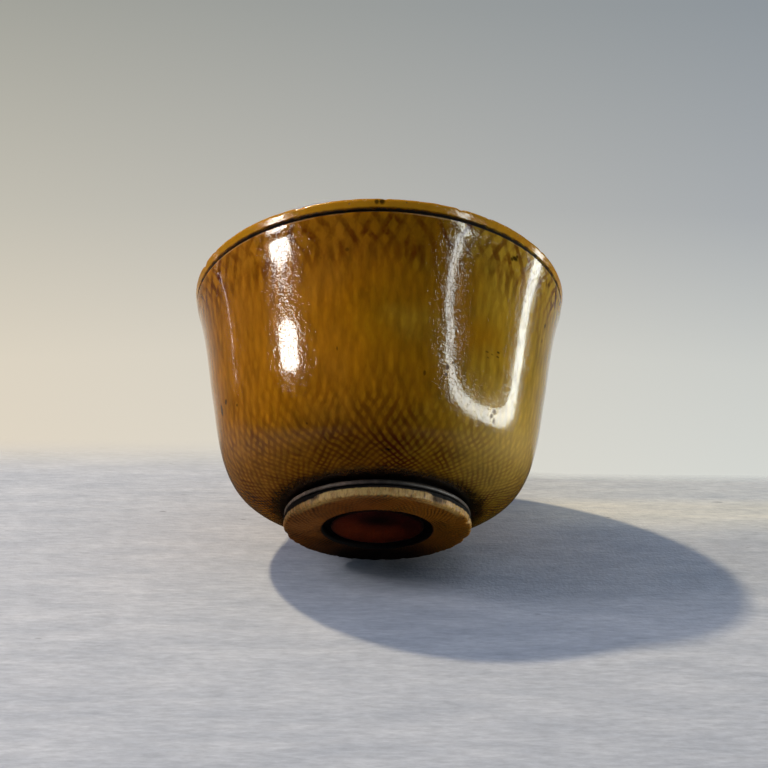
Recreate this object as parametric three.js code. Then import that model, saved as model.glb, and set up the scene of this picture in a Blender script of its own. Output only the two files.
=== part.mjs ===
// A small turned wine cup: a thin bell-shaped bowl on a low foot, every piece turned on one lathe axis.
// Millimetres, +Z up along the lathe axis, origin at the centre of the foot's resting face.
// The bowl has a shallow socket underneath. The foot disc has a spigot that seats in it, a thin collar ring
// is trapped between the two, and a stemmed plug closes the bore through the middle of the foot.
import * as THREE from "three";

// Driving dimensions: the lip, with the groove turned under it
const cupHeight = 40.9;
const lipRadius = 31.2; // widest point of the lip
const lipHeight = 1.65; // from the groove to the top of the lip
const lipRound = 0.6; // radius of the lip's outer corner
const lipSlant = 0.3; // the lip's lower edge lies this far inside its widest point
const lipInnerRound = 0.4; // radius of its inner corner
const lipWall = 1.6; // wall thickness at the lip
const grooveWidth = 0.75;
const grooveDepth = 0.5;
const grooveFlat = 0.25; // width of the groove's bottom
const flareStep = 0.4; // the wall under the groove lies this far inside the lip

// Driving dimensions: the wall, as the radius and height of each place where its curve changes
const neckRadius = 12.9; // hollow between the collar and the bowl's underside
const neckRise = 0.28;
const undersideRadius = 16.2; // where the underside leaves the hollow
const undersideRise = 0.62; // above the bowl's seat, as the next two
const turnRadius = 19.8;
const turnRise = 2.0;
const lowRadius = 23.6;
const lowRise = 5.7;
const bellyRadius = 25.6;
const bellyHeight = 13.8;
const middleRadius = 26.8;
const middleHeight = 20;
const waistRadius = 27.9; // above it the wall swings out to the lip
const waistHeight = 26.1;
const flareRadius = 29.2;
const flareDrop = 5.9; // from the groove down to the middle of the flare
const wall = 1.7; // wall thickness
const floorThickness = 1.7; // under the wine, above the socket
const floorDish = 0.3; // the floor's edge lies this much above its middle
const floorCorner = 1.35; // height above the floor at which the wall leaves the corner

// Driving dimensions: the foot, collar and plug
const footRadius = 14.8;
const footThickness = 1.7;
const footChamfer = 0.3; // worn edges of the foot disc
const spigotRadius = 9;
const spigotLength = 2.6; // above the foot disc's upper face
const collarRadius = 14.7;
const collarThickness = 0.9;
const recessRadius = 8.7; // sunk ring in the foot's underside
const recessDepth = 1.1;
const plugRadius = 7.3;
const plugSink = 0.45; // plug face above the resting face
const plugDome = 0.18; // the plug's face swells downwards by this much
const plugStemRadius = 3;
const plugStemLength = 2.0;

// Clearances
const seam = 0.12; // film of glue between faces that meet
const slip = 0.12; // around the spigot and the plug stem

const roundSegments = 72;
const curveSteps = 24; // points along each side of the bowl
const cornerSteps = 5; // points round a small corner

const ivory = new THREE.MeshStandardMaterial({ color: 0x8a5a14, roughness: 0.22, metalness: 0 });
const darkIvory = new THREE.MeshStandardMaterial({ color: 0x4a3622, roughness: 0.35, metalness: 0 });
const wornIvory = new THREE.MeshStandardMaterial({ color: 0x9c7440, roughness: 0.5, metalness: 0 });
const redIvory = new THREE.MeshStandardMaterial({ color: 0x6b2f12, roughness: 0.4, metalness: 0 });

// Places that follow from the sizes
const collarBottom = footThickness + seam;
const collarTop = collarBottom + collarThickness;
const bowlSeat = collarTop + seam;
const spigotTop = footThickness + spigotLength;
const socketTop = spigotTop + seam;
const bowlFloor = socketTop + floorThickness;
const grooveTop = cupHeight - lipHeight;
const grooveBottom = grooveTop - grooveWidth;
const plugTop = recessDepth + plugStemLength;

function point(r, z) {
  return new THREE.Vector2(r, z);
}

// Points along the smooth curve through the given ones.
function smooth(points) {
  return new THREE.SplineCurve(points).getPoints(curveSteps);
}

// Points along part of a circle, from one direction to another in degrees.
function arc(centreR, centreZ, radius, from, to) {
  const made = [];
  for (let i = 0; i <= cornerSteps; i++) {
    const angle = THREE.MathUtils.degToRad(from + ((to - from) * i) / cornerSteps);
    made.push(point(centreR + radius * Math.cos(angle), centreZ + radius * Math.sin(angle)));
  }
  return made;
}

// The same curve moved to its left, which is inwards on a wall listed from the foot up.
function offset(points, distance) {
  return points.map((place, i) => {
    const before = points[Math.max(i - 1, 0)];
    const after = points[Math.min(i + 1, points.length - 1)];
    const along = after.clone().sub(before).normalize();
    return point(place.x - along.y * distance, place.y + along.x * distance);
  });
}

// A solid of revolution about Z from a closed outline in (radius, height), listed anticlockwise.
function turned(name, outline, material) {
  const geometry = new THREE.LatheGeometry([...outline, outline[0].clone()], roundSegments);
  geometry.rotateX(Math.PI / 2);
  const mesh = new THREE.Mesh(geometry, material);
  mesh.name = name;
  return mesh;
}

function bowl() {
  const underside = [
    point(neckRadius, bowlSeat),
    point(neckRadius, bowlSeat + neckRise),
    point(undersideRadius, bowlSeat + undersideRise),
  ];
  const side = [
    point(turnRadius, bowlSeat + turnRise),
    point(lowRadius, bowlSeat + lowRise),
    point(bellyRadius, bellyHeight),
    point(middleRadius, middleHeight),
    point(waistRadius, waistHeight),
    point(flareRadius, grooveBottom - flareDrop),
    point(lipRadius - flareStep, grooveBottom),
  ];
  const grooveFloor = lipRadius - flareStep - grooveDepth;
  const lip = [
    point(grooveFloor, grooveBottom + (grooveWidth - grooveFlat) / 2),
    point(grooveFloor, grooveTop - (grooveWidth - grooveFlat) / 2),
    point(lipRadius - lipSlant, grooveTop),
    ...arc(lipRadius - lipRound, cupHeight - lipRound, lipRound, 0, 90),
    ...arc(lipRadius - lipWall + lipInnerRound, cupHeight - lipInnerRound, lipInnerRound, 90, 180),
  ];
  const lining = offset(side, wall).slice(1, -1).reverse();
  const dish = (radius) => point(radius, bowlFloor + floorDish * (radius / undersideRadius) ** 2);
  const inside = smooth([
    point(lipRadius - lipWall, grooveTop),
    ...lining,
    point(turnRadius, bowlFloor + floorCorner),
    ...[undersideRadius, neckRadius, spigotRadius, 0].map(dish),
  ]);
  const socketRadius = spigotRadius + slip;
  const socket = [point(0, socketTop), point(socketRadius, socketTop), point(socketRadius, bowlSeat)];
  return turned("bowl", [underside[0], ...smooth([...underside.slice(1), ...side]), ...lip, ...inside, ...socket], ivory);
}

function collarRing() {
  const half = collarThickness / 2;
  const bore = spigotRadius + slip;
  const edge = arc(collarRadius - half, collarBottom + half, half, -90, 90);
  return turned("collar_ring", [point(bore, collarBottom), ...edge, point(bore, collarTop)], darkIvory);
}

function footDisc() {
  const bore = plugStemRadius + slip;
  const outline = [
    point(recessRadius, 0),
    point(footRadius - footChamfer, 0),
    point(footRadius, footChamfer),
    point(footRadius, footThickness - footChamfer),
    point(footRadius - footChamfer, footThickness),
    point(spigotRadius, footThickness),
    point(spigotRadius, spigotTop),
    point(bore, spigotTop),
    point(bore, recessDepth),
    point(recessRadius, recessDepth),
  ];
  return turned("foot_disc", outline, wornIvory);
}

function basePlug() {
  const face = [];
  for (let i = 0; i <= cornerSteps; i++) {
    const share = i / cornerSteps;
    face.push(point(plugRadius * share, plugSink - plugDome * (1 - share * share)));
  }
  const shoulder = recessDepth - seam;
  const stem = [
    point(plugRadius, shoulder),
    point(plugStemRadius, shoulder),
    point(plugStemRadius, plugTop),
    point(0, plugTop),
  ];
  return turned("base_plug", [...face, ...stem], redIvory);
}

const cup = new THREE.Group();
cup.name = "wine_cup";
cup.add(bowl(), collarRing(), footDisc(), basePlug());

export default cup;
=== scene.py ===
import math

import bmesh
import bpy
import numpy as np
from mathutils import Matrix, Vector, noise


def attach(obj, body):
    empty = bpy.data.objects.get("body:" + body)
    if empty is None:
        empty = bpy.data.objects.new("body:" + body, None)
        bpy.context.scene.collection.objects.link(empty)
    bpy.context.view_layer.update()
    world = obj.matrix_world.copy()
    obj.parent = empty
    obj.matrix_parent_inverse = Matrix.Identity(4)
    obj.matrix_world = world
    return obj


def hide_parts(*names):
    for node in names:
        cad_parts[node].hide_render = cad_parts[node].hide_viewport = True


# A small turned wine cup of stained ivory, leaning back on a pale table and seen from in front of
# its foot. Sizes in the dictionaries are millimetres, and angles are degrees.
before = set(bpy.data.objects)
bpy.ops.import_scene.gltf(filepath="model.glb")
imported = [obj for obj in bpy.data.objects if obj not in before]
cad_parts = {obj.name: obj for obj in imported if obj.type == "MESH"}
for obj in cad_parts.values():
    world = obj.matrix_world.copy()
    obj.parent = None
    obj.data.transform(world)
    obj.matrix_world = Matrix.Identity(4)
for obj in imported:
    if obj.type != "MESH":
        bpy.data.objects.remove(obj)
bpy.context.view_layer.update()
mm = 0.001
print("frame loaded:", sorted(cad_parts))

view = {
    "imageSize": 768.0,  # pixels
    "focalPixels": 1169.9,
    "opticalAxis": (378.2, 423.3),  # pixel that the lens axis meets
    "distance": 191.7,
    "aimHeight": 18.6,  # the lens axis meets the cup's axis here
    "elevation": -25.36,  # the cup leans back, so the lens is below its foot
    "roll": 0.5,
    "sensor": 36.0,
    "clip": (0.01, 20.0),  # metres
}


def makeCamera():
    data = bpy.data.cameras.new("camera")
    camera = bpy.data.objects.new("camera", data)
    bpy.context.scene.collection.objects.link(camera)
    data.sensor_width = view["sensor"]
    data.lens = view["focalPixels"] / view["imageSize"] * data.sensor_width
    half = view["imageSize"] / 2
    data.shift_x = (half - view["opticalAxis"][0]) / view["imageSize"]
    data.shift_y = (view["opticalAxis"][1] - half) / view["imageSize"]
    data.clip_start, data.clip_end = view["clip"]
    elevation = math.radians(view["elevation"])
    aim = Vector((0, 0, view["aimHeight"])) * mm
    away = Vector((0, -math.cos(elevation), math.sin(elevation)))
    camera.location = aim + away * view["distance"] * mm
    level = (-away).to_track_quat("-Z", "Y").to_matrix()
    roll = Matrix.Rotation(math.radians(view["roll"]), 3, "Z")
    camera.rotation_euler = (level @ roll).to_euler()
    bpy.context.scene.camera = camera


makeCamera()
print("camera made")

room = {
    "lean": 41.6,  # the table touches the foot's edge and the belly
    "footEdge": 14.8,
}
lean = math.radians(room["lean"])
roomUp = Vector((0, -math.sin(lean), math.cos(lean)))
roomAway = Vector((0, math.cos(lean), math.sin(lean)))
roomOrigin = Vector((0, room["footEdge"], 0)) * mm


# a place in the room, from where the foot touches the table, in the cup's own frame
def inRoom(right, away, up):
    return roomOrigin + (Vector((1, 0, 0)) * right + roomAway * away + roomUp * up) * mm


# an sRGB hex colour as the linear values that nodes and lamps take
def linear(hexColour):
    values = [int(hexColour[i : i + 2], 16) / 255 for i in (1, 3, 5)]
    return [v / 12.92 if v <= 0.04045 else ((v + 0.055) / 1.055) ** 2.4 for v in values] + [1.0]


# one node with its settings; an input is a value, a hex colour, a socket, or a node whose first
# output is meant
def addNode(tree, kind, inputs=(), stops=None, **settings):
    node = tree.nodes.new("ShaderNode" + kind)
    for name, value in settings.items():
        setattr(node, name, value)
    pairs = inputs.items() if isinstance(inputs, dict) else enumerate(inputs)
    for key, value in pairs:
        if isinstance(value, bpy.types.Node):
            value = next(socket for socket in value.outputs if socket.enabled)
        if isinstance(value, bpy.types.NodeSocket):
            tree.links.new(value, node.inputs[key])
        elif value is not None:
            node.inputs[key].default_value = linear(value) if isinstance(value, str) else value
    if stops:
        ramp = node.color_ramp
        while len(ramp.elements) < len(stops):
            ramp.elements.new(0.5)
        for element, (place, value) in zip(ramp.elements, stops):
            element.position = place
            element.color = linear(value) if isinstance(value, str) else (value, value, value, 1)
    return node


# the texture scale that gives features of about this size
def scaleFor(size):
    return 1 / (size * mm)


def newMaterial(name):
    material = bpy.data.materials.new(name)
    material.use_nodes = True
    material.node_tree.nodes.clear()
    return material, material.node_tree


# how far out a place is from the cup's axis, in metres
def outward(tree, place):
    flat = addNode(tree, "VectorMath", [place, (1, 1, 0)], operation="MULTIPLY")
    return addNode(tree, "VectorMath", [flat], operation="LENGTH").outputs["Value"]


# Growth lines. A tusk cut across shows two crossing families of fine spiral lines round its centre.
# Their pattern depends only on the place across the tusk, so it stretches to tall diamonds where
# the wall is steep and closes to a fine cross-hatch where the belly turns under.
growth = {
    "spokes": 104,  # lines of each family round the tusk, 1.4 mm apart near the belly's turn
    "innerPitch": 1.0,  # between lines along a radius, in the heart of the tusk
    "outerPitch": 1.75,  # the same at the lip
    "innerRadius": 18.0,
    "outerRadius": 30.5,
    "tuskCentre": (1.3, 0.9, 0.0),  # the cup was turned a little off the tusk's own centre
    "waver": 0.8,  # how far the lines wander
    "waverSize": 7.0,
    "patch": 4.5,  # each family comes and goes in patches of about this size
    "least": 0.3,  # what is left of a line between patches
    "edge": -0.7,  # a higher value makes the lines finer
}
# near the lip the lines lie wider apart and cross at a wider angle
lipGrowth = {
    **growth,
    "spokes": 74,
    "innerPitch": 1.2,
    "outerPitch": 1.2,
    "waver": 0.3,
    "patch": 3.4,
    "least": -0.2,
    "edge": -0.2,
}


def growthLines(tree, place, pattern):
    centre = Vector(pattern["tuskCentre"]) * mm
    offset = addNode(tree, "VectorMath", [place, centre], operation="SUBTRACT")
    radius = outward(tree, offset)
    wander = addNode(
        tree,
        "TexNoise",
        {
            "Vector": place,
            "Scale": scaleFor(pattern["waverSize"]),
            "Detail": 3.0,
            "Roughness": 0.6,
        },
    )
    centred = addNode(tree, "Math", [wander, 0.5], operation="SUBTRACT")
    swing = pattern["waver"] * mm * 4  # the noise seldom swings by more than a quarter
    shift = addNode(tree, "Math", [centred, swing], operation="MULTIPLY")
    warped = addNode(tree, "Math", [radius, shift], operation="ADD")

    # the lines' rate along a radius falls evenly from the inner pitch to the outer one
    innerRate = 2 * math.pi / (pattern["innerPitch"] * mm)
    outerRate = 2 * math.pi / (pattern["outerPitch"] * mm)
    reach = (pattern["outerRadius"] - pattern["innerRadius"]) * mm
    slowing = (innerRate - outerRate) / reach / 2
    straight = addNode(tree, "Math", [warped, innerRate], operation="MULTIPLY")
    past = addNode(tree, "Math", [warped, pattern["innerRadius"] * mm], operation="SUBTRACT")
    beyond = addNode(tree, "Math", [past, 0.0], operation="MAXIMUM")
    squared = addNode(tree, "Math", [beyond, beyond], operation="MULTIPLY")
    lag = addNode(tree, "Math", [squared, slowing], operation="MULTIPLY")
    along = addNode(tree, "Math", [straight, lag], operation="SUBTRACT")

    axes = addNode(tree, "SeparateXYZ", [offset])
    angle = addNode(tree, "Math", [axes.outputs[1], axes.outputs[0]], operation="ARCTAN2")
    around = addNode(tree, "Math", [angle, pattern["spokes"]], operation="MULTIPLY")
    families = []
    for operation, seed in (("ADD", 0.0), ("SUBTRACT", 7.0)):
        phase = addNode(tree, "Math", [around, along], operation=operation)
        wave = addNode(tree, "Math", [phase], operation="SINE")
        line = addNode(
            tree,
            "MapRange",
            [wave, pattern["edge"], 0.9, 0.0, 1.0],
            interpolation_type="SMOOTHSTEP",
        )
        patches = addNode(
            tree,
            "TexNoise",
            {
                "Vector": place,
                "W": seed,
                "Scale": scaleFor(pattern["patch"]),
                "Detail": 3.0,
                "Roughness": 0.65,
            },
            noise_dimensions="4D",
        )
        fade = addNode(tree, "MapRange", [patches, 0.36, 0.62, pattern["least"], 1.0])
        kept = addNode(tree, "Math", [fade, 0.0], operation="MAXIMUM")
        families.append(addNode(tree, "Math", [line, kept], operation="MULTIPLY"))
    return addNode(
        tree,
        "Mix",
        {"Factor": 1.0, "A": families[0], "B": families[1]},
        data_type="RGBA",
        blend_type="SCREEN",
    )


# the larger of several masks at each place
def largest(tree, masks):
    total = masks[0]
    for mask in masks[1:]:
        total = addNode(tree, "Math", [total, mask], operation="MAXIMUM")
    return total


# round marks, each its centre, half width and half height, and a strength where it isn't full
def spots(tree, place, marks, softness):
    masks = []
    for centre, halfWidth, halfHeight, *strength in marks:
        apart = addNode(tree, "VectorMath", [place, Vector(centre) * mm], operation="SUBTRACT")
        size = Vector((1 / halfWidth, 1 / halfWidth, 1 / halfHeight)) / mm
        scaled = addNode(tree, "VectorMath", [apart, size], operation="MULTIPLY")
        reach = addNode(tree, "VectorMath", [scaled], operation="LENGTH").outputs["Value"]
        most = strength[0] if strength else 1.0
        masks.append(addNode(tree, "MapRange", [reach, 1 + softness, 1 - softness, 0.0, most]))
    return largest(tree, masks)


# straight hair lines, each its two ends and half width
def hairLines(tree, place, lines):
    masks = []
    for start, end, halfWidth in lines:
        along = (Vector(end) - Vector(start)) * mm
        apart = addNode(tree, "VectorMath", [place, Vector(start) * mm], operation="SUBTRACT")
        direction = along / along.length_squared
        dot = addNode(tree, "VectorMath", [apart, direction], operation="DOT_PRODUCT")
        share = addNode(
            tree, "Math", [dot.outputs["Value"], 1.0], operation="MULTIPLY", use_clamp=True
        )
        nearest = addNode(tree, "VectorMath", {0: along, "Scale": share}, operation="SCALE")
        gap = addNode(tree, "VectorMath", [apart, nearest], operation="DISTANCE").outputs["Value"]
        edges = [halfWidth * 1.6 * mm, halfWidth * 0.4 * mm]
        masks.append(addNode(tree, "MapRange", [gap, *edges, 0.0, 1.0]))
    return largest(tree, masks)


# a band of height, from zero at the first and last value to full between the middle two, with
# edges as ragged as the last value says
def band(tree, place, height, rise, full, end, fall, ragged=0.0):
    if ragged:
        rags = addNode(tree, "TexNoise", {"Vector": place, "Scale": scaleFor(1.1), "Detail": 3.0})
        lifted = addNode(tree, "MapRange", [rags, 0.2, 0.8, -ragged * mm, ragged * mm])
        height = addNode(tree, "Math", [height, lifted], operation="ADD")
    low = addNode(tree, "MapRange", [height, rise * mm, full * mm, 0.0, 1.0])
    high = addNode(tree, "MapRange", [height, end * mm, fall * mm, 1.0, 0.0])
    return addNode(tree, "Math", [low, high], operation="MULTIPLY")


# ends of a band that goes on down or up past the piece
fromBelow = (-1.0, 0.0)
toTop = (50.0, 51.0)

# What all the ivory shares. Grain, pricks and hair scratches are two or three times as coarse as
# real ones, so that they show in the render.
ivory = {
    "stainDrift": 14.0,  # the stain wanders over this distance, and as far to either side
    "stainReach": 28.0,  # from the axis to the first and last colour of a body
    "lineTop": 41.0,  # height of the last line stop
    "linePatch": 7.0,
    "lipLines": (29.2, 29.8),  # the lip's growth lines take over between these radii
    "fibre": 1.2,
    "fibreStretch": (1, 1, 0.16),  # fibres run up the tusk
    "grain": 0.45,
    "prick": 0.4,
    "strand": 0.28,
    "strandTurns": [  # how each set of hair scratches is turned, and along which axis it runs
        ((0.3, 0.5, 0.2), (1, 1, 0.1)),
        ((1.2, 0.2, 0.9), (1, 0.1, 1)),
        ((0.1, 1.1, 2.0), (0.1, 1, 1)),
    ],
    "strandDull": 0.06,
    "haze": 0.5,
    "relief": 0.1,  # how high a height of 1 stands out
    "glowDepths": (1.6, 0.8, 0.3),  # red light goes deepest
    "glowScale": 0.8,
    "pitColour": "#140501",
    "pitSoftness": 0.35,
    "scratchGlintColour": "#D8B070",
    "scratchStrength": 0.85,
    "scratchSink": 0.3,
}


# Stained ivory turned on a lathe: a warm translucent body with crossed growth lines, a gloss
# broken by hair scratches, and dirt where cloth never reached. Each layer of stain, dirt, wear,
# painted light or painted shade gives its colour, where it lies, how far it is sunk in tenths of a
# millimetre, and its roughness.
def makeIvory(name, look, layers, marks=None, scratched=None):
    material, tree = newMaterial(name)
    place = addNode(tree, "TexCoord").outputs["Object"]
    axes = addNode(tree, "SeparateXYZ", [place])
    height = axes.outputs[2]

    # the body's stain drifts from side to side, under the growth lines and fine upright fibres
    cloud = addNode(
        tree, "TexNoise", {"Vector": place, "Scale": scaleFor(ivory["stainDrift"]), "Detail": 3.0}
    )
    most = ivory["stainDrift"] * mm
    drift = addNode(tree, "MapRange", [cloud, 0.2, 0.8, -most, most])
    across = addNode(tree, "Math", [axes, drift], operation="ADD")
    side = ivory["stainReach"] * mm
    spread = addNode(tree, "MapRange", [across, -side, side, 0.0, 1.0])
    body = addNode(tree, "ValToRGB", [spread], stops=look["body"])

    lipFrom, lipFull = ivory["lipLines"]
    radius = outward(tree, place)
    nearLip = addNode(tree, "MapRange", [radius, lipFrom * mm, lipFull * mm, 0.0, 1.0])
    wallLines = growthLines(tree, place, growth)
    lipLines = growthLines(tree, place, lipGrowth)
    lines = addNode(
        tree, "Mix", {"Factor": nearLip, "A": wallLines, "B": lipLines}, data_type="RGBA"
    )
    rise = addNode(tree, "MapRange", [height, 0.0, ivory["lineTop"] * mm, 0.0, 1.0])
    strength = addNode(tree, "ValToRGB", [rise], stops=look["lineStops"])
    patchy = addNode(
        tree, "TexNoise", {"Vector": place, "Scale": scaleFor(ivory["linePatch"]), "Detail": 2.0}
    )
    patches = addNode(tree, "MapRange", [patchy, 0.25, 0.7, 0.35, 1.15])
    amount = addNode(tree, "Math", [strength, patches], operation="MULTIPLY")
    linework = addNode(tree, "Math", [lines, amount], operation="MULTIPLY", use_clamp=True)
    lined = addNode(
        tree, "Mix", {"Factor": linework, "A": body, "B": look["line"]}, data_type="RGBA"
    )

    upright = addNode(tree, "VectorMath", [place, ivory["fibreStretch"]], operation="MULTIPLY")
    fibre = addNode(
        tree,
        "TexNoise",
        {"Vector": upright, "Scale": scaleFor(ivory["fibre"]), "Detail": 4.0, "Roughness": 0.6},
    )
    streak = addNode(tree, "MapRange", [fibre, 0.3, 0.7, -1.0, 1.0])
    shade = addNode(tree, "Math", [streak, look["streak"]], operation="MULTIPLY")
    value = addNode(tree, "Math", [shade, 1.0], operation="ADD")
    colour = addNode(tree, "HueSaturation", {"Value": value, "Color": lined})

    # grain, pricks and hair scratches in three directions break the gloss
    grain = addNode(
        tree, "TexNoise", {"Vector": place, "Scale": scaleFor(ivory["grain"]), "Detail": 2.0}
    )
    relief = addNode(tree, "Math", [grain, look["grain"]], operation="MULTIPLY")
    prick = addNode(
        tree, "TexNoise", {"Vector": place, "Scale": scaleFor(ivory["prick"]), "Detail": 1.0}
    )
    pricked = addNode(tree, "MapRange", [prick, 0.58, 0.74, 0.0, -look["pricks"]])
    relief = addNode(tree, "Math", [relief, pricked], operation="ADD")
    sets = []
    for turn, stretch in ivory["strandTurns"]:
        turned = addNode(tree, "Mapping", {"Vector": place, "Rotation": turn, "Scale": stretch})
        strands = addNode(
            tree, "TexNoise", {"Vector": turned, "Scale": scaleFor(ivory["strand"]), "Detail": 1.0}
        )
        sets.append(addNode(tree, "MapRange", [strands, 0.6, 0.72, 0.0, 1.0]))
    hairs = largest(tree, sets)
    cut = addNode(tree, "Math", [hairs, -look["scratch"]], operation="MULTIPLY")
    relief = addNode(tree, "Math", [relief, cut], operation="ADD")
    dulled = addNode(
        tree,
        "TexNoise",
        {"Vector": place, "Scale": scaleFor(ivory["haze"]), "Detail": 4.0, "Roughness": 0.75},
    )
    haze = addNode(tree, "MapRange", [dulled, 0.42, 0.7, 0.0, look["haze"]])
    roughness = addNode(tree, "Math", [hairs, ivory["strandDull"]], operation="MULTIPLY")
    roughness = addNode(tree, "Math", [roughness, haze], operation="ADD")
    roughness = addNode(tree, "Math", [roughness, look["roughness"]], operation="ADD")

    for layer in layers:
        tint, mask, sink, dull = layer(tree, place, height)
        colour = addNode(tree, "Mix", {"Factor": mask, "A": colour, "B": tint}, data_type="RGBA")
        sunk = addNode(tree, "Math", [mask, -sink], operation="MULTIPLY")
        relief = addNode(tree, "Math", [relief, sunk], operation="ADD")
        roughness = addNode(tree, "Mix", {"Factor": mask, "A": roughness, "B": dull})
    if marks:
        mask = spots(tree, place, marks, ivory["pitSoftness"])
        colour = addNode(
            tree, "Mix", {"Factor": mask, "A": colour, "B": ivory["pitColour"]}, data_type="RGBA"
        )
    # scratches are sunk, and painted pale as a glint along them
    if scratched:
        found = hairLines(tree, place, scratched)
        mask = addNode(tree, "Math", [found, ivory["scratchStrength"]], operation="MULTIPLY")
        colour = addNode(
            tree,
            "Mix",
            {"Factor": mask, "A": colour, "B": ivory["scratchGlintColour"]},
            data_type="RGBA",
        )
        sunk = addNode(tree, "Math", [mask, -ivory["scratchSink"]], operation="MULTIPLY")
        relief = addNode(tree, "Math", [relief, sunk], operation="ADD")

    bump = addNode(
        tree, "Bump", {"Strength": 1.0, "Distance": ivory["relief"] * mm, "Height": relief}
    )
    shader = addNode(
        tree,
        "BsdfPrincipled",
        {
            "Base Color": colour,
            "Roughness": roughness,
            "IOR": look["gloss"],
            "Normal": bump,
            "Subsurface Weight": look["glow"],
            "Subsurface Radius": ivory["glowDepths"],
            "Subsurface Scale": ivory["glowScale"] * mm,
        },
    )
    addNode(tree, "OutputMaterial", {"Surface": shader})
    return material


# points along the natural spline through the given ones, whose bend never jumps, so that
# highlights run smoothly over it
def smoothCurve(places, steps):
    knots = np.array([tuple(p) for p in places], dtype=float)
    gaps = np.linalg.norm(np.diff(knots, axis=0), axis=1)
    reach = np.concatenate([[0.0], np.cumsum(gaps)])
    count = len(knots)
    system = np.eye(count)
    wanted = np.zeros((count, 2))
    for i in range(1, count - 1):
        system[i, i - 1 : i + 2] = gaps[i - 1], 2 * (gaps[i - 1] + gaps[i]), gaps[i]
        slopeBefore = (knots[i] - knots[i - 1]) / gaps[i - 1]
        slopeAfter = (knots[i + 1] - knots[i]) / gaps[i]
        wanted[i] = 6 * (slopeAfter - slopeBefore)
    bend = np.linalg.solve(system, wanted)
    made = []
    for at in np.linspace(0, reach[-1], steps + 1):
        k = min(int(np.searchsorted(reach, at, side="right")) - 1, count - 2)
        before, after, gap = at - reach[k], reach[k + 1] - at, gaps[k]
        spot = (bend[k] * after**3 + bend[k + 1] * before**3) / (6 * gap)
        spot += (knots[k] / gap - bend[k] * gap / 6) * after
        spot += (knots[k + 1] / gap - bend[k + 1] * gap / 6) * before
        made.append(Vector(spot))
    return made


def arc(centre, radius, start, end, steps):
    angles = [math.radians(start + (end - start) * i / steps) for i in range(steps + 1)]
    x, y = centre
    return [Vector((x + radius * math.cos(a), y + radius * math.sin(a))) for a in angles]


# the same curve moved to its left, which is inwards on a wall listed from the foot up
def offsetCurve(places, distance):
    knots = [Vector(p) for p in places]
    made = []
    for i, knot in enumerate(knots):
        along = (knots[min(i + 1, len(knots) - 1)] - knots[max(i - 1, 0)]).normalized()
        made.append(Vector((knot.x - along.y * distance, knot.y + along.x * distance)))
    return made


sharpAngle = math.radians(38)  # edges that bend more than this stay sharp in the shading


# a closed outline in (radius, height) spun round the axis, and worn by a function of angle, radius,
# height and place
def turnPiece(name, outline, turns, material, wear=None):
    shape = bmesh.new()
    ring = [shape.verts.new((place[0] * mm, 0, place[1] * mm)) for place in outline]
    pairs = zip(ring, ring[1:] + ring[:1])
    edges = [shape.edges.new((a, b)) for a, b in pairs if a.co.x + b.co.x > 0]
    bmesh.ops.spin(
        shape,
        geom=ring + edges,
        axis=(0, 0, 1),
        cent=(0, 0, 0),
        angle=2 * math.pi,
        steps=turns,
        use_merge=True,
        use_duplicate=False,
    )
    bmesh.ops.remove_doubles(shape, verts=shape.verts, dist=1e-7)
    bmesh.ops.recalc_face_normals(shape, faces=shape.faces)
    if wear:
        for vert in shape.verts:
            radius = math.hypot(vert.co.x, vert.co.y) / mm
            if radius > 0.01:  # the poles stay
                angle = math.degrees(math.atan2(vert.co.y, vert.co.x))
                newRadius, newHeight = wear(angle, radius, vert.co.z / mm, vert.co / mm)
                vert.co.x *= newRadius / radius
                vert.co.y *= newRadius / radius
                vert.co.z = newHeight * mm
    for face in shape.faces:
        face.smooth = True
    for edge in shape.edges:
        edge.smooth = edge.calc_face_angle(0) < sharpAngle
    mesh = bpy.data.meshes.new(name)
    shape.to_mesh(mesh)
    shape.free()
    piece = bpy.data.objects.new(name, mesh)
    bpy.context.scene.collection.objects.link(piece)
    mesh.materials.append(material)
    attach(piece, "root")
    return piece


# how deep all chips together bite at an angle; each is full at its middle and nothing at its ends
def chipDepth(angle, chips):
    depth = 0
    for middle, halfWidth, deepest in chips:
        share = abs((angle - middle + 180) % 360 - 180) / halfWidth
        if share < 1:
            depth += (1 - share * share) ** 2 * deepest
    return depth


# an uneven surface from a few waves, each its depth and how many there are to a millimetre
def uneven(place, waves):
    return sum(depth * noise.noise(place * rate) for depth, rate in waves)


# the bowl

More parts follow.
